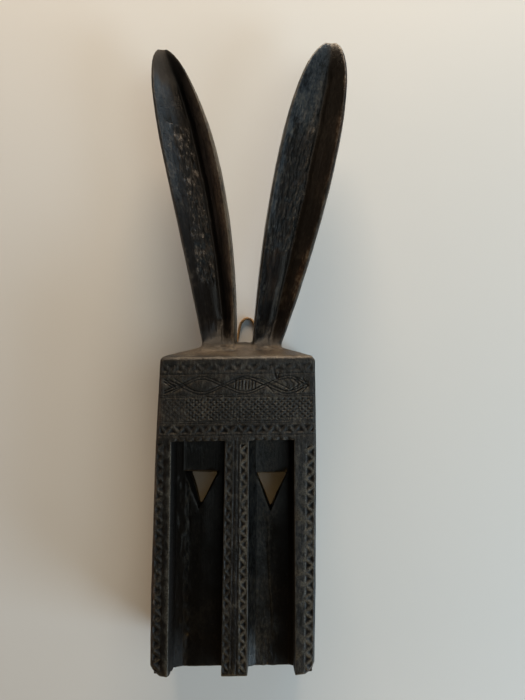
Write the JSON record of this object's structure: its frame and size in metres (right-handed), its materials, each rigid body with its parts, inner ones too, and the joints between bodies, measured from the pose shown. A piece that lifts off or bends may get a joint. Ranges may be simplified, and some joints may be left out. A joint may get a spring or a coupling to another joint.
{
  "type": "dogon hare mask",
  "caption": "Carved wooden hare mask: hollow rectangular face with channelled cheeks, triangular eyes, a chip-carved brow, tall scooped ears and a hanging cord.",
  "frame": {"origin": "on the plane of the back rim, under the middle of the mask's length and width", "axes": "+X across the face, towards the right as one looks at it; +Y from the chin to the tips of the ears; +Z out of the face. The mask lies on its back rim with its face up."},
  "size_m": [0.1956, 0.6192, 0.125],
  "materials": {
    "carved_wood": "dark hardwood, blackened by smoke, oil and handling, brown where edges are worn",
    "plant_fibre": "twisted golden-brown plant fibre, matte"
  },
  "bodies": {
    "root": {"mask_carving": "carved_wood", "hanging_cord": "plant_fibre"}
  },
  "joints": []
}
